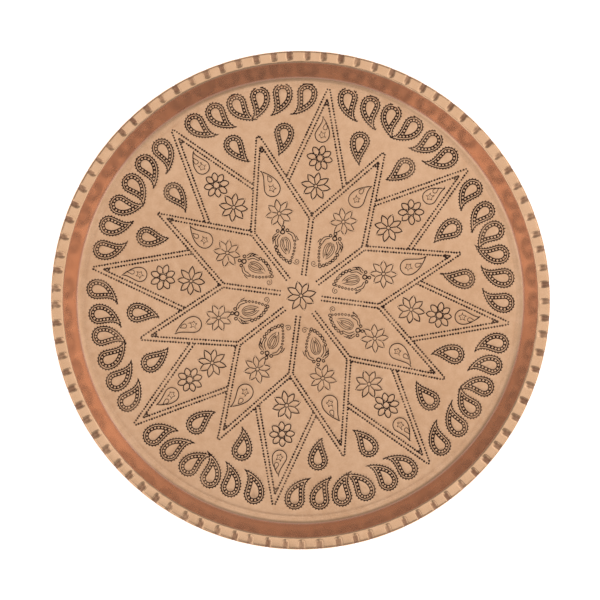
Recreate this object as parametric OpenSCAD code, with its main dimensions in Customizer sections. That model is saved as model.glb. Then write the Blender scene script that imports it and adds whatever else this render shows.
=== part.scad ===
// Round copper serving tray: a flat floor chased with an eight-fold star, a steep wall,
// a crimped rim, and a steel wire held in the rolled outer edge. Millimetres, +Z up.
// The origin is on the table, under the middle of the floor.

/* [Tray] */
// Outside diameter over the rolled edge
tray_diameter = 450; // [400:5:600]
// Height from the table to the top of the rim
tray_height = 25; // [20:1:34]
// Thickness of the copper sheet
sheet = 1.0; // [0.9:0.1:1.3]

/* [Wall] */
// How far the wall leans out between its foot and the rim
wall_run = 10.5; // [7:0.5:14]
// Radius of the bend at the foot of the wall, on the middle of the sheet
foot_bend = 7.4; // [3:0.2:9]
// Depth of the shallow spun channel that rings the floor
foot_groove = 0.2; // [0.1:0.05:0.4]

/* [Rim] */
// Width of the rim from the inner bend to the outer edge
rim_width = 10.5; // [10:0.5:16]
// Radius of the bend between wall and rim, on the middle of the sheet
rim_bend = 2.4; // [1.8:0.2:3]
// Number of crimps pressed round the rim
crimps = 89; // [48:1:110]
// How deep a crimp is at the outer edge
crimp_depth = 0.55; // [0.3:0.05:0.6]
// How wide a crimp is at the outer edge
crimp_width = 4.4; // [3:0.2:6]
// Diameter of the steel wire inside the rolled edge
wire_diameter = 2.4; // [2:0.2:2.8]

/* [Chased pattern] */
// Number of points in each of the two rings of the star
star_points = 8; // [6:1:10]
// Depth of the chased lines
chase_depth = 0.25; // [0.1:0.05:0.4]
// Width of one chased line
line_width = 1.1; // [0.8:0.1:1.6]
// Gap between the two lines of a star edge, centre to centre
line_gap = 3.75; // [3:0.25:5]
// Angle of the first outer point, turned from +X
star_turn = 83; // [0:1:90]

/* [Hidden] */

rim_r = tray_diameter / 2;
wire_r = wire_diameter / 2;
// Between the wire and the roll that holds it.
wire_gap = 0.05;
roll_r = wire_r + wire_gap + sheet / 2;
roll_x = rim_r - roll_r - sheet / 2;
rim_z = tray_height - sheet / 2;
roll_z = rim_z - roll_r;
floor_z = sheet / 2;
bend_x = rim_r - rim_width;
foot_x = bend_x - wall_run;
// The pattern is drawn for a floor of this radius, and follows the tray's own.
pattern = (foot_x - 4) / 200;
steep = atan2(rim_z - floor_z, wall_run);
copper = [0.80, 0.50, 0.36];
steel = [0.55, 0.56, 0.58];
// Straight pieces in the roll round the wire.
arc_steps = 14;

// Points on an arc about c, from one angle to another, ends included.
function arc(c, r, from, to, steps) = [
  for (i = [0 : steps]) let (a = from + (to - from) * i / steps)
    [c[0] + r * cos(a), c[1] + r * sin(a)]
];
function unit(v) = v / norm(v);
function left_of(v) = [-v[1], v[0]];
// Direction in which the path runs at point i.
function heading(p, i) =
  i == 0 ? unit(p[1] - p[0])
  : i == len(p) - 1 ? unit(p[i] - p[i - 1])
  : unit(unit(p[i + 1] - p[i]) + unit(p[i] - p[i - 1]));
// The path moved sideways by d, mitred at its corners.
function beside(p, d) = [
  for (i = [0 : len(p) - 1])
    let (
      h = heading(p, i),
      s = i == 0 ? unit(p[1] - p[0]) : unit(p[i] - p[i - 1])
    )
    p[i] + left_of(h) * d / max(0.5, h * s)
];
function backwards(p) = [for (i = [len(p) - 1 : -1 : 0]) p[i]];
function polar(r, a) = [r * cos(a), r * sin(a)];

// The two bends of the wall, set so that the straight part between them is tangent to both.
foot_c = [foot_x - foot_bend * tan(steep / 2), floor_z + foot_bend];
rim_c = [bend_x + rim_bend * tan(steep / 2), rim_z - rim_bend];

// Middle of the sheet, from the axis to the end of the roll.
mid_line = concat(
  [[0, floor_z]],
  arc(foot_c, foot_bend, -90, -90 + steep, 9),
  arc(rim_c, rim_bend, 90 + steep, 90, 6),
  arc([roll_x, roll_z], roll_r, 90, -192, arc_steps)
);

module section() {
  polygon(concat(beside(mid_line, sheet / 2), backwards(beside(mid_line, -sheet / 2))));
}

// The shallow channel that rings the floor just inside the foot of the wall.
module floor_groove() {
  tool = 7;
  rotate_extrude($fn = 256)
    translate([foot_x - 6.2, sheet + tool - foot_groove])
      circle(r = tool, $fn = 96);
}

// One crimp: a tapered bar laid along the rim, biting deeper towards the outer edge.
module crimp() {
  bar_r = (pow(crimp_width / 2, 2) + pow(crimp_depth, 2)) / (2 * crimp_depth);
  start = bend_x + rim_bend * 0.9;
  bar = rim_r + 2 - start;
  taper = crimp_depth * (rim_r + 2 - start) / (rim_r - roll_r - start);
  translate([start, 0, tray_height + bar_r - crimp_depth])
    rotate([0, 90, 0])
      cylinder(h = bar, r1 = bar_r - crimp_depth, r2 = bar_r - crimp_depth + taper, $fn = 96);
}

// A chased line between two points of the floor.
module chased(a, b) {
  d = b - a;
  translate(a)
    rotate(atan2(d[1], d[0]))
      translate([0, -line_width / 2])
        square([norm(d), line_width]);
}

// A star edge: two chased lines side by side.
module double_line(a, b) {
  n = left_of(unit(b - a)) * line_gap / 2;
  chased(a + n, b + n);
  chased(a - n, b - n);
}

// A ring of the given outer radius.
module chased_ring(r) {
  difference() {
    circle(r = r, $fn = 96);
    circle(r = r - line_width, $fn = 96);
  }
}

// A drop with its head at the origin and its tail along +X. The tail's corners lie inside the head.
module drop(head, tail) {
  shoulder = acos(head / tail) + 15;
  circle(r = head, $fn = 96);
  polygon([polar(head * 0.985, shoulder), [tail, 0], polar(head * 0.985, -shoulder)]);
}

module chased_drop(head, tail) {
  difference() {
    drop(head, tail);
    drop(head - line_width, tail - line_width * tail / head);
  }
}

// Everything of the pattern that belongs to one point of the star.
module star_sector() {
  step = 360 / star_points;
  tip = polar(192 * pattern, 0);
  base = polar(110 * pattern, step * 0.318);
  point = polar(152 * pattern, step / 2);
  valley = polar(73 * pattern, 0);
  double_line(tip, base);
  double_line(tip, [base[0], -base[1]]);
  double_line(point, valley);
  double_line([point[0], -point[1]], valley);
  double_line(valley, polar(19 * pattern, 0));
  for (at = [[101, 0, 13], [127, 0, 11.3], [78, step / 2, 12.5]])
    translate(polar(at[0] * pattern, at[1]))
      chased_ring(at[2] * pattern);
  for (at = [[152, 0, 7], [106, step / 2, 7]])
    rotate(at[1])
      translate([at[0] * pattern, 0])
        chased_drop(at[2] * pattern, 14 * pattern);
  for (i = [-2.5 : 2.5])
    rotate(step / 2 + i * step * 0.146)
      translate([181 * pattern, 0])
        rotate(180 - 8 * sign(i))
          chased_drop(8.4 * pattern, 18 * pattern);
  for (i = [-1, 1])
    rotate(step / 2 + i * step * 0.189)
      translate([148 * pattern, 0])
        rotate(180 - 8 * i)
          chased_drop(8.4 * pattern, 18 * pattern);
}

// The copper sheet: floor, wall, rim and rolled edge in one piece.
module tray_sheet() {
  color(copper)
    difference() {
      rotate_extrude($fn = 256) section();
      for (i = [0 : crimps - 1])
        rotate(i * 360 / crimps)
          crimp();
      floor_groove();
      translate([0, 0, sheet - chase_depth])
        linear_extrude(2 * chase_depth)
          union() {
            for (i = [0 : star_points - 1])
              rotate(star_turn + i * 360 / star_points)
                star_sector();
            chased_ring(13.5 * pattern);
          }
    }
}

// The stiffening wire, a closed ring inside the rolled edge.
module rim_wire() {
  color(steel)
    rotate_extrude($fn = 256)
      translate([roll_x, roll_z])
        circle(r = wire_r, $fn = 48);
}

tray_sheet();
rim_wire();
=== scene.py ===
"""Round copper serving tray: crimped rim rolled over a wire, floor chased with an eight-fold star.

Lengths are in millimetres until a mesh is made. Flat points are complex numbers: X + Y i.
"""
import cmath
import math
import random

import bpy
import numpy as np
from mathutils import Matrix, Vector, noise
from mathutils.geometry import delaunay_2d_cdt


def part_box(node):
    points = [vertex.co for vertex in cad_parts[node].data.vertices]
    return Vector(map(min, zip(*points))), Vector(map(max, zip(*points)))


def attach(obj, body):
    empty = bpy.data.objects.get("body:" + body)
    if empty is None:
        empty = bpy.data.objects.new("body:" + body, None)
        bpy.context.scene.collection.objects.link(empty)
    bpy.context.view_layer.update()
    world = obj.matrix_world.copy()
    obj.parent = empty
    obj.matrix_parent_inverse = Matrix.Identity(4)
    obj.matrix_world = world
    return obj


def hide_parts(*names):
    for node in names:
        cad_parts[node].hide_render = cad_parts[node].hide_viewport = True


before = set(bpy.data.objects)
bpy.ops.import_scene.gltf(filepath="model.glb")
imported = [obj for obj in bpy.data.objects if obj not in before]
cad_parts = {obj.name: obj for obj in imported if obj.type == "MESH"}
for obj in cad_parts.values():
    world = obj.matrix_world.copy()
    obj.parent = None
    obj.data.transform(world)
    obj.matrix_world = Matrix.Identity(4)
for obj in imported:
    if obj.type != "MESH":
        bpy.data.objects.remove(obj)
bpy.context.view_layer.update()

MM = 0.001
SEED = 7
POLISH_AND_SHADE_ATTRIBUTE = "polish_and_shade"          # how much black polish a point of the copper holds, 0 to 1; on the rim the same value also carries painted shade in the crimp folds

# ---------------------------------------------------------------- sizes, from the frame
_, sheet_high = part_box("tray_sheet")
wire_low, wire_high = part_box("rim_wire")
RIM_R = sheet_high.x / MM
TOP = sheet_high.z / MM
SHEET = 1.0                # copper sheet
WIRE_R = (wire_high.z - wire_low.z) / 2 / MM
WIRE_GAP = 0.05            # between the wire and the roll that holds it
ROLL_R = WIRE_R + WIRE_GAP + SHEET / 2
ROLL_X = wire_high.x / MM - WIRE_R
ROLL_Z = (wire_high.z + wire_low.z) / 2 / MM
RIM_WIDTH = 10.5
WALL_RUN = 10.5
FOOT_BEND = 7.4
RIM_BEND = 2.4
BEND_X = RIM_R - RIM_WIDTH
FOOT_X = BEND_X - WALL_RUN
JOIN_R = FOOT_X - 5.0      # where the floor's mesh meets the wall's, on the flat
CHANNEL = (195.6, 197.8, JOIN_R)   # inner edge, lowest ring and outer edge of the spun channel
CHANNEL_DEPTH = 0.2
CRIMPS = 89
CRIMP_FOLD = 1.4           # how deep a crimp is folded at the outer edge
CRIMP_HALF = 0.215         # half the width of a fold, as a part of the crimps' pitch
STAR_CENTRE = complex(0.4, 3.7)   # the maker's centre punch, a little off the true middle
STAR_TURN = 83.0
POINTS = 8
SECTOR = 360.0 / POINTS


def cis(degrees):
    return cmath.exp(1j * math.radians(degrees))


def polar(r, degrees):
    return r * cis(degrees)


# ---------------------------------------------------------------- outlines
def bezier(a, b, c, d, steps):
    """Points on a curve from a to d, leaving towards b and arriving from c; d itself left out."""
    return [
        a * (1 - t) ** 3 + 3 * b * t * (1 - t) ** 2 + 3 * c * t * t * (1 - t) + d * t ** 3
        for t in (i / steps for i in range(steps))
    ]


def spaced(path, step, closed=False):
    """Evenly spaced points on a path, with the unit direction at each: (points, directions)."""
    p = np.array(path, complex)
    if closed:
        p = np.append(p, p[0])
    leg = np.abs(np.diff(p))
    p, leg = p[np.append(True, leg > 1e-9)], leg[leg > 1e-9]
    along = np.append(0, np.cumsum(leg))
    count = max(2, round(along[-1] / step))
    at = np.linspace(0, along[-1], count + 1)
    if closed:
        at = at[:-1]
    here = np.interp(at, along, p.real) + 1j * np.interp(at, along, p.imag)
    nudge = min(0.3 * step, along[-1] / 4)
    if closed:
        ahead, behind = (at + nudge) % along[-1], (at - nudge) % along[-1]
    else:
        ahead, behind = np.minimum(at + nudge, along[-1]), np.maximum(at - nudge, 0)
    d = (np.interp(ahead, along, p.real) - np.interp(behind, along, p.real)) + 1j * (
        np.interp(ahead, along, p.imag) - np.interp(behind, along, p.imag))
    return here, d / np.maximum(np.abs(d), 1e-9)


def inset(loop, depth):
    """The counterclockwise loop drawn again, depth inside it, without the part that crosses itself."""
    p, d = spaced(loop, 0.45, closed=True)
    q = p + 1j * d * depth
    if depth <= 0:
        return q
    clear = np.abs(q[:, None] - p[None, :]).min(axis=1) > depth - 0.12
    start = int(np.argmax(~clear)) if (~clear).any() else 0
    q, clear = np.roll(q, -start), np.roll(clear, -start)
    return q[clear]


def drop_outline(head, tail, lean):
    """A drop with a round head about the origin and its hooked tip at (tail, -lean), counterclockwise."""
    tip = complex(tail, -lean)
    hook = lean / 10
    top, bottom = complex(0, head), complex(0, -head)
    back = [polar(head, a) for a in range(90, 270, 12)]
    hollow = bezier(bottom, complex(0.38 * tail, -0.86 * head),
                    tip + complex(-0.27 * tail, head * (1.1 * hook - 0.3)), tip, 16)
    full = bezier(tip, tip + complex(-tail * (0.27 - 0.11 * hook), head * (0.3 + 0.82 * hook)),
                  complex(tail * (0.38 + 0.11 * hook), head * (0.88 + 0.24 * hook)), top, 18)
    return back + hollow + full


# ---------------------------------------------------------------- chasing
class Chasing:
    """Collects the points of the chased floor.

    Cuts are below the face and can hold dark polish; shoulders are the plain metal beside them.
    """

    def __init__(self, seed):
        self.hand = random.Random(seed)
        self.cuts, self.shoulders = [], []
        self.set_down(0, 0)

    def set_down(self, origin, turn, side=1, scale=1.0):
        """Where the next motif goes: its origin, the angle of its own X, and side -1 to mirror it."""
        self.origin, self.turn, self.side, self.scale = origin, cis(turn), side, scale

    def slip(self, size):
        return self.hand.uniform(-size, size)

    def place(self, p):
        return self.origin + complex(p.real, p.imag * self.side) * self.scale * self.turn

    def cut(self, p, depth, dark=1.0):
        self.cuts.append((self.place(p), -depth, dark))

    def shoulder(self, p, height=0.0, dark=0.0):
        self.shoulders.append((self.place(p), height, dark))

    def dot(self, p, along=1, radius=0.62, long=1.25, depth=0.26, sides=7):
        """One blow of a pointed punch, longer across the row than along it."""
        size = radius * (1 + self.slip(0.14))
        self.cut(p, depth * (1 + self.slip(0.2)))
        turn = along * cis(self.slip(20))
        for i in range(sides):
            ring = polar(1.0, 360 * (i + 0.5) / sides)
            core = complex(ring.real / long ** 0.5, ring.imag * long ** 0.5) * turn
            if i % 2:
                self.cut(p + core * 0.42 * size, 0.8 * depth)
            self.shoulder(p + core * 1.65 * size, 0.02)

    def row(self, path, pitch=2.56, closed=False, radius=0.74):
        """A row of dots, each struck square to the row, with a scratch of the guide line between them."""
        p, d = spaced(path, pitch, closed)
        for here, way in zip(p, d):
            self.dot(here + way * self.slip(0.15) + 1j * way * self.slip(0.1), way, radius)
            between = here + way * pitch / 2
            self.cut(between, 0.1, 0.3)
            for side in (-0.85, 0.85):
                self.shoulder(between + 1j * way * side, 0.02)

    def groove(self, path, width=0.95, depth=0.24, dark=1.0, step=1.15, closed=False, sides=(1, 1)):
        """A chased line, with a shoulder of plain metal on either side that is asked for."""
        p, d = spaced(path, step, closed)
        for here, way in zip(p, d):
            wobble = 1j * way * self.slip(0.05)
            self.cut(here + wobble, depth * (1 + self.slip(0.15)), dark)
            for side, wanted in ((1, sides[0]), (-1, sides[1])):
                if wanted:
                    self.shoulder(here + wobble + 1j * way * side * 0.85 * width, 0.02)

    def bead(self, p, radius=1.0, height=0.14, floor=0.22, bank=0.0):
        """A round bead left standing in a dark hollow, which ends at a bank if one is asked for."""
        size = radius * (1 + self.slip(0.08))
        self.cut(p, -height, 0.0)
        for i in range(7):
            self.cut(p + polar(0.68 * size, 360 * i / 7), -0.6 * height, 0.0)
        for i in range(8):
            self.cut(p + polar(1.22 * size, 45 * i + 20), floor)
            if bank:
                self.shoulder(p + polar(1.3 * size + bank, 45 * i + 20), 0.02)


def beaded_drop(work, tail, lean):
    """The large drop: a spurred line, a raised ridge, a dark band of beads, and a plain middle."""
    loop = drop_outline(8.5 + work.slip(0.2), tail + work.slip(0.6), lean + work.slip(0.5))
    work.groove(loop, 0.9, closed=True, sides=(0, 0))
    p, d = spaced(loop, 2.65, closed=True)
    for here, way in zip(p, d):
        out = -1j * way
        if abs(here - complex(tail, -lean)) > 2.0:
            work.cut(here + out * (0.8 + work.slip(0.1)), 0.2)
        for ahead, off in ((-0.75, 0.75), (-0.5, 1.4), (0.3, 1.6), (0.75, 1.1), (0.85, 0.7)):
            work.shoulder(here + way * ahead + out * off, 0.02)
    for depth, height in ((0.75, 0.05), (1.1, 0.12)):
        for here in spaced(inset(loop, depth), 1.3, closed=True)[0]:
            work.shoulder(here, height)
    beads = spaced(inset(loop, 2.9), 3.25, closed=True)[0]
    for depth, cut in ((1.95, 0.16), (2.9, 0.26), (3.95, 0.24)):
        for here in spaced(inset(loop, depth), 0.95, closed=True)[0]:
            if np.abs(beads - here).min() > 1.55:
                work.cut(here, cut)
    for here, after in zip(beads, np.roll(beads, -1)):
        if abs(after - here) > 2.2:
            work.cut((here + after) / 2, 0.26)
        work.bead(here + complex(work.slip(0.1), work.slip(0.1)), 1.12)
    for here in spaced(inset(loop, 4.95), 1.1, closed=True)[0]:
        work.shoulder(here, 0.04)


def curl(turns, start, end, steps=14):
    """A spiral about the origin from radius start to radius end."""
    return [polar(start + (end - start) * i / steps, 360 * turns * i / steps) for i in range(steps + 1)]


def small_drop(work, head, tail, lean):
    """The small drop: one thin line with a hooked tail, and inside it a star and a seed."""
    loop = drop_outline(head, tail + work.slip(0.5), lean + work.slip(0.5))
    work.groove(loop, 0.8, 0.2, 1.0, closed=True)
    star = [polar(3.5 if i % 2 else 1.7, 36 * i + work.slip(4)) + complex(0.2, 0) for i in range(10)]
    work.groove(star, 0.5, 0.13, 0.8, 0.85, closed=True)
    work.dot(complex(0.2, 0), radius=0.35, depth=0.12)
    seed = [0.3 * p + complex(0.47 * tail, 0.02 * tail) for p in drop_outline(6.4, 15.0, 3.0)]
    work.groove(seed, 0.6, 0.15, 0.9, 0.85, closed=True)


def pointed_flower(work, reach, width=0.95, dark=1.0, sway=16):
    """Eight pointed petals that share their inner edges, round a bead."""
    turn = work.slip(sway)
    split, eye = 0.54 * reach, 2.0
    tips = [polar(reach * (1 + work.slip(0.05)), turn + 45 * i + work.slip(2.5)) for i in range(8)]
    forks = [polar(split * (1 + work.slip(0.05)), turn + 22.5 + 45 * i + work.slip(2)) for i in range(8)]
    for i in range(8):
        fork = forks[i]
        work.groove([fork / abs(fork) * eye, fork], width * 0.9, 0.22, dark)
        for tip in (tips[i], tips[(i + 1) % 8]):
            bow = (fork + tip) / 2 + 0.07 * reach * (fork - tip / 2) / abs(fork - tip / 2)
            work.groove(bezier(fork, bow, bow, tip, 8) + [tip], width, 0.24, dark)
    ring = [polar(1.75, 40 * i) for i in range(9)]
    work.groove(ring, 0.7, 0.22, dark, 0.9, closed=True)
    work.shoulder(0, 0.12)


def round_flower(work, reach, eye=3.0):
    """Eight blunt petals, each with its own outline, round an open ring."""
    turn = work.slip(16)
    work.groove([polar(eye, 20 * i) for i in range(18)], 0.95, 0.24, 1.0, closed=True)
    for i in range(8):
        a = turn + 45 * i + work.slip(3)
        long = reach * (1 + work.slip(0.05))
        half = 0.235 * reach
        root = eye + 0.5
        base, tip = complex(root, 0), complex(long, 0)
        full, narrow = complex(long - 2.2, 1.35 * half), complex(root + 1.2, 1.25 * half)
        right = bezier(base, narrow.conjugate(), full.conjugate(), tip, 9)
        left = bezier(tip, full, narrow, base, 9)
        work.groove([p * cis(a) for p in right + left], 0.9, 0.23, 1.0, 1.1, closed=True)


def crowned_drop(work):
    """The drop nearest the middle: a crown and a chain of beads, a row of dots, a flame and a curl."""
    foot = complex(-18.2, -1.8)
    chain = bezier(complex(-1.2, -10.4), complex(-6.5, -10.6), complex(-12.5, -8.4), foot, 20)
    for here in spaced(chain + [foot], 3.3)[0]:
        work.bead(here, 0.95, 0.12, 0.2, 0.8)
    crown = (
        (complex(10.6, -0.9), 1.45),
        (complex(11.0, 3.7), 0.95),
        (complex(14.6, 0.6), 1.0),
        (complex(12.6, -5.0), 0.95),
    )
    for here, size in crown:
        work.bead(here, size, 0.14, 0.22, 0.85)
    right = bezier(complex(-0.4, 7.7), complex(-6.0, 6.8), complex(-12.0, 3.2), complex(-16.6, -0.4), 16)
    for here in spaced(right + [complex(-16.6, -0.4)], 2.9)[0]:
        work.bead(here, 0.62, 0.1, 0.18, 0.75)
    strokes = (
        (complex(9.6, 4.8), complex(6.8, 8.8), complex(0.6, 9.2)),
        (complex(8.4, 3.4), complex(5.8, 6.6), complex(1.2, 6.6)),
        (complex(4.2, 9.9), complex(2.6, 10.6), complex(0.6, 10.9)),
        (complex(9.6, -5.2), complex(6.6, -9.6), complex(0.8, -9.9)),
        (complex(8.2, -3.9), complex(5.2, -7.8), complex(-0.6, -8.0)),
        (complex(10.6, -7.2), complex(9.4, -10.2), complex(7.2, -11.4)),
        (complex(8.4, -8.2), complex(7.4, -10.8), complex(5.0, -11.8)),
        (complex(6.0, -9.8), complex(4.8, -11.4), complex(2.8, -12.0)),
    )
    for a, b, c in strokes:
        work.groove(bezier(a, b, b, c, 8) + [c], 0.7, 0.18, 0.95, 1.0)
    for grow in (1.0, 0.62, 0.28):
        top, tip = complex(6.0 - 2.0 * (1 - grow), -1.0), complex(-11.2 + 5.0 * (1 - grow), -1.8)
        for side in (1, -1):
            bulge = complex(0, 6.2 * grow * side)
            curve = bezier(top, top + bulge + complex(-2.0, 0), tip + bulge + complex(6.5, 0), tip, 12)
            work.groove(curve, 0.6, 0.15, 0.85, 1.0)
    work.groove([complex(-18.8, 4.4) + p * cis(-100) for p in curl(-1.35, 2.9, 0.7)], 0.6, 0.14, 0.75, 0.9)


def meet(a, way_a, b, way_b):
    """Where the line through a along way_a meets the line through b along way_b."""
    across = (way_a.conjugate() * way_b).imag
    return a + way_a * (((b - a).conjugate() * way_b).imag / across)


def rounded(corner, before, after, radius, steps=5):
    """Points that round a sharp corner between two straight rows."""
    u, v = (before - corner) / abs(before - corner), (after - corner) / abs(after - corner)
    half = abs(cmath.phase(v / u)) / 2
    centre = corner + (u + v) / abs(u + v) * radius / math.sin(half)
    first, last = corner + u * radius / math.tan(half), corner + v * radius / math.tan(half)
    return [
        centre + radius * (first + (last - first) * i / steps - centre)
        / abs(first + (last - first) * i / steps - centre)
        for i in range(steps + 1)
    ]


def tip_mark(work, apex, way, size=5.4):
    """The darkened corner inside a point of the star, with a bead left in it."""
    for ahead in (0.1, 0.25, 0.4, 0.55, 0.7, 0.85, 1.0):
        half = 0.36 * ahead * size
        for off in np.linspace(-half, half, max(2, int(half / 0.4))):
            if abs(complex(ahead - 0.68, off / size)) > 0.2:
                work.cut(apex - way * ahead * size + 1j * way * off, 0.24)
    work.bead(apex - way * 0.68 * size, 0.75, 0.12)


def star_lines(work):
    """Both rings of points and the spokes, every edge a pair of dotted rows."""
    gap = 1.88               # from the middle of an edge to each of its rows
    outer, inner, valley, hub = 189.1, 148.0, 72.2, 19.4
    work.set_down(STAR_CENTRE, 0)
    spread = 17.5
    for k in range(POINTS):
        axis = STAR_TURN + SECTOR * k + work.slip(0.35)
        mid, low, high = cis(axis), cis(axis - SECTOR / 2), cis(axis + SECTOR / 2)
        tip = mid * (outer + work.slip(0.8))
        vee = mid * valley
        # the spoke and the two edges of inner points that leave its end
        edges = []
        for near, side in ((high, 1), (low, -1)):
            point = near * inner
            way = (point - vee) / abs(point - vee)
            off = -1j * way * side
            edges.append((point, way, off))
            corner = meet(vee + 1j * mid * side * gap, mid, vee - off * gap, way)
            work.row([mid * hub + 1j * mid * side * gap, corner - mid * 0.6])
            apex = meet(vee - off * gap, way, 0, near)
            work.row([corner + way * 1.2, apex - way * 1.6])
        # the rows outside the inner points, from point to point through the valley
        (p_high, w_high, o_high), (p_low, w_low, o_low) = edges
        fork = meet(vee + o_high * gap, w_high, vee + o_low * gap, w_low)
        for point, way, off, near in ((p_high, w_high, o_high, high), (p_low, w_low, o_low, low)):
            sharp = meet(vee + off * gap, way, 0, near)
            work.row([fork + way * 1.5, sharp - way * 3.6])
        for ahead, side in ((0.0, 0), (0.9, 0), (1.7, 0), (1.0, 1), (1.0, -1), (2.0, 1), (2.0, -1)):
            work.cut(fork + mid * ahead + 1j * mid * side * 0.9, 0.26)
        # the outer point
        sides = []
        for side, (point, way, off) in ((1, edges[0]), (-1, edges[1])):
            lean = -mid * cis(-side * spread)
            foot = meet(tip, lean, vee + off * gap, way)
            out = -1j * lean * side * -1
            out = out if (out * mid.conjugate()).imag * side > 0 else -out
            sides.append((lean, foot, out, way, off))
        sharp_out = meet(tip + sides[0][2] * gap, sides[0][0], tip + sides[1][2] * gap, sides[1][0])
        sharp_in = meet(tip - sides[0][2] * gap, sides[0][0], tip - sides[1][2] * gap, sides[1][0])
        starts = []
        for lean, foot, out, way, off in sides:
            row_out = meet(foot + out * gap, lean, foot, way)
            row_in = meet(foot - out * gap, lean, foot, way)
            starts.append((row_out - lean * 1.3, row_in - lean * 1.3))
            for ahead, across in ((0.2, 0.1), (0.9, 0.3), (1.9, 0.9), (2.4, -0.2), (1.0, 1.4), (1.6, 0.1)):
                work.cut(row_out - lean * ahead + out * across, 0.26)
        bend = rounded(sharp_out, starts[0][0], starts[1][0], 1.35)
        work.row([starts[0][0]] + bend + [starts[1][0]])
        for lean_i in (0, 1):
            work.row([starts[lean_i][1], sharp_in + sides[lean_i][0] * 1.2])
        tip_mark(work, sharp_in, mid)
    for k in range(POINTS):
        axis = STAR_TURN + SECTOR * (k + 0.5)
        mid = cis(axis)
        point = mid * inner
        ways = [(mid * cis(s * SECTOR / 2) * valley - point) for s in (1, -1)]
        ways = [w / abs(w) for w in ways]
        outs = [-1j * ways[0], 1j * ways[1]]
        outs = [o if (o * mid.conjugate()).real > 0 else -o for o in outs]
        sharp_out = meet(point + outs[0] * gap, ways[0], point + outs[1] * gap, ways[1])
        sharp_in = meet(point - outs[0] * gap, ways[0], point - outs[1] * gap, ways[1])
        bend = rounded(sharp_out, sharp_out + ways[0], sharp_out + ways[1], 1.2)
        work.row([sharp_out + ways[0] * 3.6] + bend + [sharp_out + ways[1] * 3.6])
        tip_mark(work, sharp_in, mid)


def chase_floor(work):
    """Every motif of the floor, sector by sector."""
    star_lines(work)
    for k in range(POINTS):
        point = STAR_TURN + SECTOR * k
        for r, flower, reach in ((101.2, pointed_flower, 13.2), (127.0, round_flower, 11.7)):
            at = polar(r + work.slip(0.8), point + work.slip(0.5))
            work.set_down(STAR_CENTRE + at, point + work.slip(6))
            flower(work, reach)
        side = 1 if k % 2 else -1
        work.set_down(STAR_CENTRE + polar(148.6, point), point + 10 * side + work.slip(3), side)
        small_drop(work, 6.5, 15.6, 4.8)
        middle = point + SECTOR / 2
        work.set_down(STAR_CENTRE + polar(78.0, middle + work.slip(0.6)), middle + work.slip(6))
        pointed_flower(work, 12.7, 0.8, 0.9)
        work.set_down(STAR_CENTRE + polar(101.6, middle), middle + work.slip(3), side)
        small_drop(work, 7.3, 17.8, 5.0)
        work.set_down(STAR_CENTRE + polar(50.2, middle + work.slip(0.6)), middle, side)
        crowned_drop(work)
        for i in (-2.5, -1.5, -0.5, 0.5, 1.5, 2.5):
            side = 1 if i > 0 else -1
            at = middle + i * 6.7
            work.set_down(STAR_CENTRE + polar(186.4 + work.slip(0.8), at + work.slip(0.3)),
                          at + 180 + 8 * side + work.slip(2.5), -side)
            beaded_drop(work, 21.4, 9.6)
        for side in (1, -1):
            at = middle + side * 9.1
            work.set_down(STAR_CENTRE + polar(151.0 + work.slip(0.8), at),
                          at + 180 + 5 * side + work.slip(2.5), -side)
            beaded_drop(work, 20.4, 4.6)
    work.set_down(STAR_CENTRE, 15)
    pointed_flower(work, 13.8, sway=0)


# ---------------------------------------------------------------- the floor's mesh
def channel(r):
    """Depth of the shallow channel spun round the edge of the floor."""
    inner, lowest, outer = CHANNEL
    if r < lowest:
        return CHANNEL_DEPTH * math.cos(math.pi / 2 * min(1.0, (lowest - r) / (lowest - inner))) ** 2
    return CHANNEL_DEPTH * math.cos(math.pi / 2 * min(1.0, (r - lowest) / (outer - lowest))) ** 2


def dull(r):
    """How much darker and duller the copper is made at this radius, in the channel and the bend outside it.
    """
    return 0.2 * min(1.0, max(0.0, (r - CHANNEL[0]) / 1.6), max(0.0, (FOOT_X - 0.2 - r) / 1.2))


def planish(x, y):
    """How far the floor wanders from true at a point: the channel and the planishing hammer's marks."""
    near = noise.noise(Vector((x / 8.0, y / 8.0, 3.7)))
    far = noise.noise(Vector((x / 46.0, y / 46.0, 9.1)))
    edge = min(1.0, max(0.0, (JOIN_R - 1.5 - math.hypot(x, y)) / 6.0))
    return (0.035 * near + 0.11 * far) * edge - channel(math.hypot(x, y))


class Sieve:
    """Keeps points apart: a point is taken only where no earlier one is within its own distance."""

    def __init__(self, cell=0.5):
        self.cell, self.held, self.points = cell, {}, []

    def near(self, p, distance):
        reach = int(distance / self.cell) + 1
        i, j = int(p.real // self.cell), int(p.imag // self.cell)
        for a in range(i - reach, i + reach + 1):
            for b in range(j - reach, j + reach + 1):
                for q in self.held.get((a, b), ()):
                    if abs(p - q) < distance:
                        return True
        return False

    def take(self, p, z, dark, distance):
        if self.near(p, distance):
            return
        self.held.setdefault((int(p.real // self.cell), int(p.imag // self.cell)), []).append(p)
        self.points.append((p.real, p.imag, z, dark))


def column_angles(hand):
    """Every column of the rim's mesh: (angle, number of its crimp, place across that crimp's pitch)."""
    beside_fold = (0.012, 0.07, 0.13, 0.19, 0.225, 0.3, 0.4)
    steps = [-0.5] + [-s for s in reversed(beside_fold)] + list(beside_fold)
    pitch = 360.0 / CRIMPS
    centres = [pitch * (i + hand.uniform(-0.09, 0.09)) for i in range(CRIMPS)]
    angles = []
    for i in range(CRIMPS):
        before = (centres[i] + centres[i - 1] - (360 if i == 0 else 0)) / 2
        after = (centres[i] + centres[(i + 1) % CRIMPS] + (360 if i == CRIMPS - 1 else 0)) / 2
        for s in steps:
            angles.append((centres[i] + (after - centres[i]) * 2 * s if s > 0
                           else centres[i] + (centres[i] - before) * 2 * s, i, s))
    return angles


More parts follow.
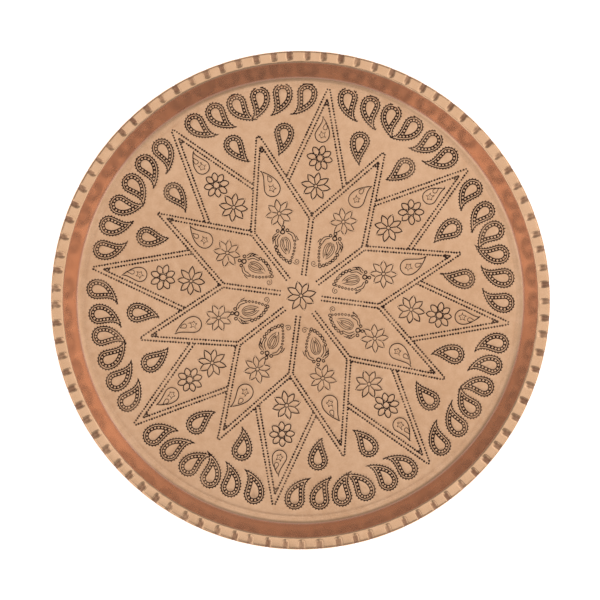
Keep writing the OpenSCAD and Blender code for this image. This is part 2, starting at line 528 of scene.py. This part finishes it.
def mesh_object(name, verts, faces, polish_and_shade=None, slots=None, materials=()):
    """An object of these points, in millimetres; the caller attaches it to the tray's one body."""
    mesh = bpy.data.meshes.new(name)
    mesh.from_pydata([(x * MM, y * MM, z * MM) for x, y, z in verts], [], faces)
    for m in materials:
        mesh.materials.append(m)
    if slots is not None:
        mesh.polygons.foreach_set("material_index", slots)
    if polish_and_shade is not None:
        held = mesh.attributes.new(POLISH_AND_SHADE_ATTRIBUTE, "FLOAT", "POINT")
        held.data.foreach_set("value", polish_and_shade)
    mesh.shade_smooth()
    mesh.set_sharp_from_angle(angle=math.radians(50))
    mesh.validate()
    made = bpy.data.objects.new(name, mesh)
    bpy.context.scene.collection.objects.link(made)
    return made


def delaunay(points):
    """Triangles over flat points, all facing up."""
    out = delaunay_2d_cdt([Vector(p[:2]) for p in points], [], [], 0, 1e-7)
    source = [ids[0] for ids in out[3]]
    faces = []
    for f in out[2]:
        a, b, c = (source[i] for i in f)
        turn = (points[b][0] - points[a][0]) * (points[c][1] - points[a][1]) - (
            points[b][1] - points[a][1]) * (points[c][0] - points[a][0])
        if abs(turn) > 1e-9:
            faces.append((a, b, c) if turn > 0 else (a, c, b))
    return faces


def floor_piece(angles, materials):
    """The chased floor: cut and planished above, plain below, closed at its edge."""
    work = Chasing(SEED)
    chase_floor(work)
    sieve = Sieve()
    ring = [JOIN_R * cis(a) for a, _, _ in angles]
    for p in ring:
        sieve.take(p, SHEET, dull(JOIN_R), 0.0)
    for p, z, dark in work.cuts:
        if abs(p) < JOIN_R - 0.5:
            sieve.take(p, SHEET + z + planish(p.real, p.imag), dark, 0.2)
    cut_only = Sieve()
    cut_only.held = {k: list(v) for k, v in sieve.held.items()}
    for p, z, dark in work.shoulders:
        if abs(p) < JOIN_R - 0.8 and not cut_only.near(p, 0.42):
            sieve.take(p, SHEET + z + planish(p.real, p.imag), dark, 0.3)
    hand = random.Random(SEED + 1)
    for r in np.arange(CHANNEL[0] - 0.6, JOIN_R - 0.2, 0.6):
        for i in range(620):
            p = polar(r, 360 * (i + hand.uniform(-0.2, 0.2)) / 620)
            sieve.take(p, SHEET + planish(p.real, p.imag), dull(r), 0.5)
    step = 2.5
    rows = int(JOIN_R / step) + 1
    for i in range(-rows, rows + 1):
        for j in range(-rows, rows + 1):
            across = step * (i + 0.5 * (j % 2)) + hand.uniform(-0.5, 0.5)
            p = complex(across, step * 0.87 * j + hand.uniform(-0.5, 0.5))
            if abs(p) < JOIN_R - 1.2:
                sieve.take(p, SHEET + planish(p.real, p.imag), 0.0, 1.35)
    top = sieve.points
    top_faces = delaunay(top)
    count = len(top)

    under = [(p.real, p.imag, 0.0) for p in ring]
    for r in range(8, int(JOIN_R) - 3, 7):
        around = max(8, int(2 * math.pi * r / 8.0))
        for i in range(around):
            a = 360 * (i + hand.uniform(-0.2, 0.2)) / around
            p = polar(r + hand.uniform(-1.0, 1.0), a)
            under.append((p.real, p.imag, 0.04 * abs(noise.noise(Vector((p.real / 17, p.imag / 17, 1.3))))))
    under_faces = [(count + a, count + c, count + b) for a, b, c in delaunay(under)]
    n = len(ring)
    wall = []
    for i in range(n):
        j = (i + 1) % n
        wall.append((i, count + i, count + j, j))
    verts = [p[:3] for p in top] + under
    polish_and_shade = [p[3] for p in top] + [0.0] * len(under)
    slots = [0] * len(top_faces) + [1] * (len(under_faces) + len(wall))
    return mesh_object("tray_floor", verts, top_faces + under_faces + wall, polish_and_shade, slots, materials)


# ---------------------------------------------------------------- the wall and rim
def arc(cx, cz, r, start, end, steps):
    return [
        (cx + r * math.cos(math.radians(start + (end - start) * i / steps)),
         cz + r * math.sin(math.radians(start + (end - start) * i / steps)))
        for i in range(steps + 1)
    ]


def rim_section():
    """The middle of the sheet from the floor to the end of the roll, as (radius, height) points."""
    mid_z = TOP - SHEET / 2
    floor_z = SHEET / 2
    steep = math.degrees(math.atan2(mid_z - floor_z, WALL_RUN))
    lean = math.tan(math.radians(steep / 2))
    foot = arc(FOOT_X - FOOT_BEND * lean, floor_z + FOOT_BEND, FOOT_BEND, -90, -90 + steep, 14)
    bend = arc(BEND_X + RIM_BEND * lean, mid_z - RIM_BEND, RIM_BEND, 90 + steep, 90, 7)
    flange = [(r, mid_z) for r in np.linspace(bend[-1][0], ROLL_X, 6)[1:-1]]
    wall = [(foot[-1][0] + (bend[0][0] - foot[-1][0]) * t, foot[-1][1] + (bend[0][1] - foot[-1][1]) * t)
            for t in (0.12, 0.3, 0.5, 0.7, 0.88)]
    start = [(JOIN_R, floor_z)]
    roll = arc(ROLL_X, ROLL_Z, ROLL_R, 90, -192, 18)
    return start + foot + wall + bend + flange + roll


def offset_sides(path):
    """The two faces of the sheet: points half its thickness to the left and right of the path."""
    p = np.array([complex(*q) for q in path])
    leg = np.diff(p)
    leg /= np.abs(leg)
    way = np.append(leg[0], leg)
    ahead = np.append(leg, leg[-1])
    mean = (way + ahead) / np.abs(way + ahead)
    stretch = 1 / np.maximum(0.6, (mean.conjugate() * way).real)
    return p + 1j * mean * stretch * SHEET / 2, p - 1j * mean * stretch * SHEET / 2


def upper_slot(at):
    """Which material the upper face has at this radius and height: floor 3, wall 2 or rim 0."""
    if at.imag < SHEET + 1.5 and at.real < FOOT_X + 0.5:
        return 3
    return 2 if at.real < BEND_X - 0.6 and at.imag < TOP - 0.6 else 0


def rim_piece(angles, hand, materials):
    """Wall, crimped rim and the roll that holds the wire, as one closed band of sheet."""
    upper, lower = offset_sides(rim_section())
    loop = np.concatenate([upper, lower[::-1]])
    outside = np.concatenate([np.ones(len(upper)), np.zeros(len(lower))])
    depth = [hand.uniform(0.85, 1.1) for _ in range(CRIMPS)]
    narrow = [hand.uniform(0.9, 1.15) for _ in range(CRIMPS)]
    crease = [hand.uniform(0.0, 1.0) for _ in range(CRIMPS)]
    verts, polish_and_shade = [], []
    for a, i, s in angles:
        turn = cis(a)
        blow = max(0.0, 1 - abs(s * narrow[i]) / CRIMP_HALF)
        ridge = (1 - math.cos(2 * math.pi * s)) / 2
        mid_crease = math.exp(-((abs(s) - 0.5) / 0.07) ** 2)
        sway = noise.noise(Vector((turn.real * 2.3, turn.imag * 2.3, 5.0)))
        for q, out in zip(loop, outside):
            r, z = q.real, q.imag
            dark = dull(r) if out else 0.0
            if r > BEND_X - 2.5:
                ramp = min(1.0, max(0.0, (r - BEND_X - 0.6) / 3.4)) ** 0.8
                rolled = r > ROLL_X - ROLL_R - 0.4
                on_wire = rolled and not out
                if not on_wire:
                    fade = 1.0
                    if rolled:
                        fade = min(1.0, max(0.0, (z - (ROLL_Z - 0.6)) / 2.2)) * 0.62
                    lift = 0.16 * ridge - 0.14 * crease[i] * mid_crease
                    z += ramp * fade * (lift - CRIMP_FOLD * depth[i] * blow)
                if out and r > ROLL_X:
                    r -= 0.28 * blow * depth[i] * min(1.0, (r - ROLL_X) / 1.5)
                # painted shade: on the upper face each crimp fold is darkened, where shade falls between the
                # lobes
                if out:
                    dark = 0.4 * min(1.0, 2.6 * blow) * ramp * depth[i]
            if BEND_X - 3.5 < r < BEND_X + 3.0:
                near_bend = max(0.0, 1 - abs(r - BEND_X) / 3.5)
                r += near_bend * (0.28 * ridge * -1 + 0.14 + 0.25 * sway)
            elif FOOT_X < r <= BEND_X:
                up = min(1.0, (r - FOOT_X) / 3.0)
                r += 0.12 * sway + 0.03 * up * noise.noise(Vector((turn.real * 42, turn.imag * 42, z / 30)))
            p = turn * r
            verts.append((p.real, p.imag, z))
            polish_and_shade.append(dark)
    n, m = len(angles), len(loop)
    faces, slots = [], []
    upper_n = len(upper)
    for i in range(n):
        j = (i + 1) % n
        for k in range(m):
            after = (k + 1) % m
            faces.append((i * m + k, i * m + after, j * m + after, j * m + k))
            slots.append(1 if k >= upper_n - 1 else upper_slot((loop[k] + loop[after]) / 2))
    return mesh_object("tray_wall_and_rim", verts, faces, polish_and_shade, slots, materials)


# ---------------------------------------------------------------- materials
def node_group(name, inputs, outputs):
    """A shader group with named sockets: (group, its input node, its output node)."""
    group = bpy.data.node_groups.new(name, "ShaderNodeTree")
    for socket, kind, value in inputs:
        made = group.interface.new_socket(socket, in_out="INPUT", socket_type=kind)
        made.default_value = value
    for socket, kind in outputs:
        group.interface.new_socket(socket, in_out="OUTPUT", socket_type=kind)
    return group, group.nodes.new("NodeGroupInput"), group.nodes.new("NodeGroupOutput")


def math_node(tree, operation, a, b=None, c=None):
    node = tree.nodes.new("ShaderNodeMath")
    node.operation = operation
    for i, value in enumerate((a, b, c)):
        if value is None:
            continue
        if isinstance(value, (int, float)):
            node.inputs[i].default_value = value
        else:
            tree.links.new(value, node.inputs[i])
    return node.outputs[0]


def noise_node(tree, vector, scale, detail=3.0, rough=0.55):
    node = tree.nodes.new("ShaderNodeTexNoise")
    node.inputs["Detail"].default_value = detail
    node.inputs["Roughness"].default_value = rough
    tree.links.new(vector, node.inputs["Vector"])
    if isinstance(scale, (int, float)):
        node.inputs["Scale"].default_value = scale
    else:
        tree.links.new(scale, node.inputs["Scale"])
    return node.outputs["Fac"]


def range_node(tree, value, low, high, to_low=0.0, to_high=1.0, smooth=True):
    node = tree.nodes.new("ShaderNodeMapRange")
    node.interpolation_type = "SMOOTHSTEP" if smooth else "LINEAR"
    for i, number in ((1, low), (2, high), (3, to_low), (4, to_high)):
        node.inputs[i].default_value = number
    tree.links.new(value, node.inputs[0])
    return node.outputs[0]


def mix_colour(tree, factor, a, b):
    node = tree.nodes.new("ShaderNodeMix")
    node.data_type = "RGBA"
    tree.links.new(factor, node.inputs[0])
    for socket, value in ((node.inputs[6], a), (node.inputs[7], b)):
        if isinstance(value, tuple):
            socket.default_value = value
        else:
            tree.links.new(value, socket)
    return node.outputs[2]


def planished_group():
    """Hammer and grain marks: a height for bump, and a mottle of lighter and darker metal."""
    group, given, out = node_group(
        "planished_metal",
        [("Mark Size", "NodeSocketFloat", 150.0), ("Grain Size", "NodeSocketFloat", 700.0)],
        [("Height", "NodeSocketFloat"), ("Mottle", "NodeSocketFloat"), ("Grain", "NodeSocketFloat")],
    )
    place = group.nodes.new("ShaderNodeTexCoord").outputs["Object"]
    marks = noise_node(group, place, given.outputs["Mark Size"], 2.0, 0.4)
    grain = noise_node(group, place, given.outputs["Grain Size"], 4.0, 0.7)
    broad = noise_node(group, place, 11.0, 3.0, 0.5)
    height = math_node(group, "MULTIPLY_ADD", marks, 0.8, math_node(group, "MULTIPLY", grain, 0.2))
    mottle = math_node(group, "MULTIPLY_ADD", marks, 0.45, math_node(group, "MULTIPLY", broad, 0.55))
    group.links.new(height, out.inputs["Height"])
    group.links.new(mottle, out.inputs["Mottle"])
    group.links.new(grain, out.inputs["Grain"])
    return group


def spun_group():
    """Fine lines left round the tray by the burnishing tool, as a value that changes quickly outwards."""
    group, given, out = node_group(
        "spun_lines", [("Lines", "NodeSocketFloat", 1400.0)], [("Height", "NodeSocketFloat")])
    place = group.nodes.new("ShaderNodeTexCoord").outputs["Object"]
    split = group.nodes.new("ShaderNodeSeparateXYZ")
    group.links.new(place, split.inputs[0])
    x, y, z = split.outputs
    squares = math_node(group, "MULTIPLY_ADD", x, x, math_node(group, "MULTIPLY", y, y))
    radius = math_node(group, "SQRT", squares)
    outwards = math_node(group, "MULTIPLY_ADD", z, 0.6, radius)
    join = group.nodes.new("ShaderNodeCombineXYZ")
    group.links.new(outwards, join.inputs[0])
    group.links.new(math_node(group, "MULTIPLY", x, 0.012), join.inputs[1])
    group.links.new(math_node(group, "MULTIPLY", y, 0.012), join.inputs[2])
    lines = noise_node(group, join.outputs[0], given.outputs["Lines"], 2.0, 0.6)
    group.links.new(lines, out.inputs["Height"])
    return group


def polish_and_shade_group():
    """Where black polish has stayed in the floor's cuts, and where painted shade darkens the rim's crimp
    folds: the held amount, broken up at its edges and rubbed thin in patches.
    """
    group, given, out = node_group(
        "black_polish_and_painted_shade",
        [("Held", "NodeSocketFloat", 0.0), ("Rubbed", "NodeSocketFloat", 0.25)],
        [("Mask", "NodeSocketFloat")],
    )
    place = group.nodes.new("ShaderNodeTexCoord").outputs["Object"]
    ragged = noise_node(group, place, 1500.0, 2.0, 0.6)
    patches = noise_node(group, place, 34.0, 2.0, 0.5)
    uneven = math_node(group, "SUBTRACT", ragged, 0.5)
    shifted = math_node(group, "MULTIPLY_ADD", uneven, 0.25, given.outputs["Held"])
    sharp = range_node(group, shifted, 0.15, 0.52)
    rubbed = math_node(group, "MULTIPLY", range_node(group, patches, 0.45, 0.75), given.outputs["Rubbed"])
    kept = math_node(group, "SUBTRACT", 1.0, rubbed)
    group.links.new(math_node(group, "MULTIPLY", sharp, kept), out.inputs["Mask"])
    return group


def copper(name, groups, light, deep, polish_and_shade_colour, rough, mark_size, bump, spun, rubbed=0.25, metal=1.0):
    """Copper with its own colours, gloss and hammer marks; the last colour is that of the polish it holds,
    and on the rim that of the painted shade in the crimp folds.
    """
    material = bpy.data.materials.new(name)
    material.use_nodes = True
    tree = material.node_tree
    shader = tree.nodes["Principled BSDF"]
    held = tree.nodes.new("ShaderNodeAttribute")
    held.attribute_name = POLISH_AND_SHADE_ATTRIBUTE
    planished, spun_lines, polish = (tree.nodes.new("ShaderNodeGroup") for _ in range(3))
    for node, group in zip((planished, spun_lines, polish), groups):
        node.node_tree = group
    planished.inputs["Mark Size"].default_value = mark_size
    polish.inputs["Rubbed"].default_value = rubbed
    # the mask is black polish on the floor, and painted shade in the rim's crimp folds
    tree.links.new(held.outputs["Fac"], polish.inputs["Held"])
    mask = polish.outputs["Mask"]
    tone = math_node(tree, "MULTIPLY_ADD", planished.outputs["Grain"], 0.35,
                     math_node(tree, "MULTIPLY", planished.outputs["Mottle"], 0.65))
    clean = mix_colour(tree, range_node(tree, tone, 0.36, 0.64), light, deep)
    tree.links.new(mix_colour(tree, mask, clean, polish_and_shade_colour), shader.inputs["Base Color"])
    tree.links.new(math_node(tree, "SUBTRACT", metal, math_node(tree, "MULTIPLY", mask, 0.3)),
                   shader.inputs["Metallic"])
    spread = math_node(tree, "MULTIPLY_ADD", planished.outputs["Mottle"], 0.16, rough - 0.08)
    tree.links.new(math_node(tree, "MULTIPLY_ADD", mask, 0.28, spread), shader.inputs["Roughness"])
    height = math_node(tree, "MULTIPLY_ADD", spun_lines.outputs["Height"], spun, planished.outputs["Height"])
    relief = tree.nodes.new("ShaderNodeBump")
    relief.inputs["Strength"].default_value = bump
    relief.inputs["Distance"].default_value = 0.0004
    tree.links.new(height, relief.inputs["Height"])
    tree.links.new(relief.outputs["Normal"], shader.inputs["Normal"])
    return material


def iron(name, groups):
    """Dull drawn wire with a brown bloom."""
    material = bpy.data.materials.new(name)
    material.use_nodes = True
    tree = material.node_tree
    shader = tree.nodes["Principled BSDF"]
    planished = tree.nodes.new("ShaderNodeGroup")
    planished.node_tree = groups[0]
    planished.inputs["Mark Size"].default_value = 420.0
    bloom = range_node(tree, planished.outputs["Mottle"], 0.4, 0.62)
    colour = mix_colour(tree, bloom, (0.27, 0.27, 0.28, 1), (0.19, 0.10, 0.06, 1))
    tree.links.new(colour, shader.inputs["Base Color"])
    shader.inputs["Metallic"].default_value = 0.9
    tree.links.new(math_node(tree, "MULTIPLY_ADD", bloom, 0.3, 0.38), shader.inputs["Roughness"])
    relief = tree.nodes.new("ShaderNodeBump")
    relief.inputs["Strength"].default_value = 0.2
    relief.inputs["Distance"].default_value = 0.0002
    tree.links.new(planished.outputs["Height"], relief.inputs["Height"])
    tree.links.new(relief.outputs["Normal"], shader.inputs["Normal"])
    return material


# ---------------------------------------------------------------- build
groups = (planished_group(), spun_group(), polish_and_shade_group())
floor_face = copper("chased_copper_floor", groups, (0.78, 0.485, 0.30, 1), (0.69, 0.405, 0.235, 1),
                    (0.034, 0.013, 0.007, 1), 0.36, 150.0, 0.12, 0.0)
# the rim's last colour is painted shade, laid into the crimp folds
rim_face = copper("crimped_copper_rim", groups, (0.79, 0.49, 0.30, 1), (0.72, 0.43, 0.25, 1),
                  (0.26, 0.115, 0.065, 1), 0.22, 120.0, 0.08, 0.1)
wall_face = copper("burnished_copper_wall", groups, (0.93, 0.55, 0.39, 1), (0.89, 0.50, 0.34, 1),
                   (0.10, 0.045, 0.025, 1), 0.27, 60.0, 0.02, 0.3, metal=0.85)
back_face = copper("worked_copper_back", groups, (0.66, 0.34, 0.20, 1), (0.45, 0.20, 0.11, 1),
                   (0.08, 0.035, 0.02, 1), 0.38, 90.0, 0.16, 0.4)
hand = random.Random(SEED + 2)
angles = column_angles(hand)
tray_floor = floor_piece(angles, (floor_face, back_face))
tray_wall = rim_piece(angles, hand, (rim_face, back_face, wall_face, floor_face))
for piece in (tray_floor, tray_wall):
    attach(piece, "root")
    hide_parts("tray_sheet")
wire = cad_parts["rim_wire"]
wire.data.materials.clear()
wire.data.materials.append(iron("drawn_iron_wire", groups))

# ---------------------------------------------------------------- floor, lights and camera
def soft_box(name, place, size, radiance, aim=(0, 0, 0)):
    """A square lamp of this brightness, facing aim."""
    data = bpy.data.lights.new(name, "AREA")
    data.shape = "RECTANGLE"
    data.size, data.size_y = size
    data.energy = radiance * math.pi * size[0] * size[1]
    lamp = bpy.data.objects.new(name, data)
    lamp.location = place
    lamp.rotation_euler = (Vector(aim) - Vector(place)).to_track_quat("-Z", "Y").to_euler()
    bpy.context.scene.collection.objects.link(lamp)
    return lamp


table = bpy.data.meshes.new("table")
half, below = 4.0, -0.0003
corners = [(x, y, below) for x, y in ((-half, -half), (half, -half), (half, half), (-half, half))]
table.from_pydata(corners, [], [(0, 1, 2, 3)])
table_object = bpy.data.objects.new("table", table)
bpy.context.scene.collection.objects.link(table_object)
pale = bpy.data.materials.new("pale_table")
pale.use_nodes = True
shader = pale.node_tree.nodes["Principled BSDF"]
shader.inputs["Base Color"].default_value = (0.93, 0.93, 0.93, 1)
shader.inputs["Roughness"].default_value = 0.9
shader.inputs["Emission Color"].default_value = (1, 1, 1, 1)
shader.inputs["Emission Strength"].default_value = 0.8
table.materials.append(pale)

world = bpy.data.worlds.new("studio")
world.use_nodes = True
world.node_tree.nodes["Background"].inputs["Color"].default_value = (1, 1, 1, 1)
world.node_tree.nodes["Background"].inputs["Strength"].default_value = 0.36
bpy.context.scene.world = world
bpy.context.scene.view_settings.view_transform = "Standard"

soft_box("overhead", (0.1, 0.32, 2.3), (2.2, 2.1), 0.62)
for name, turn, wide in (("right", 4, 2.9), ("left", 207, 2.3)):
    at = polar(1.5, turn)
    soft_box(name, (at.real, at.imag, 1.3), (wide, 1.6), 0.75)

camera_data = bpy.data.cameras.new("camera")
camera = bpy.data.objects.new("camera", camera_data)
bpy.context.scene.collection.objects.link(camera)
CAMERA_AT = Vector((0, -0.045, 1.5))
AIM = Vector((-0.0004, -0.0009, 0.025))
camera.location = CAMERA_AT
camera.rotation_mode = "QUATERNION"
camera.rotation_quaternion = (AIM - CAMERA_AT).to_track_quat("-Z", "Y")
camera_data.sensor_width = 36
camera_data.lens = 98.4
bpy.context.scene.camera = camera
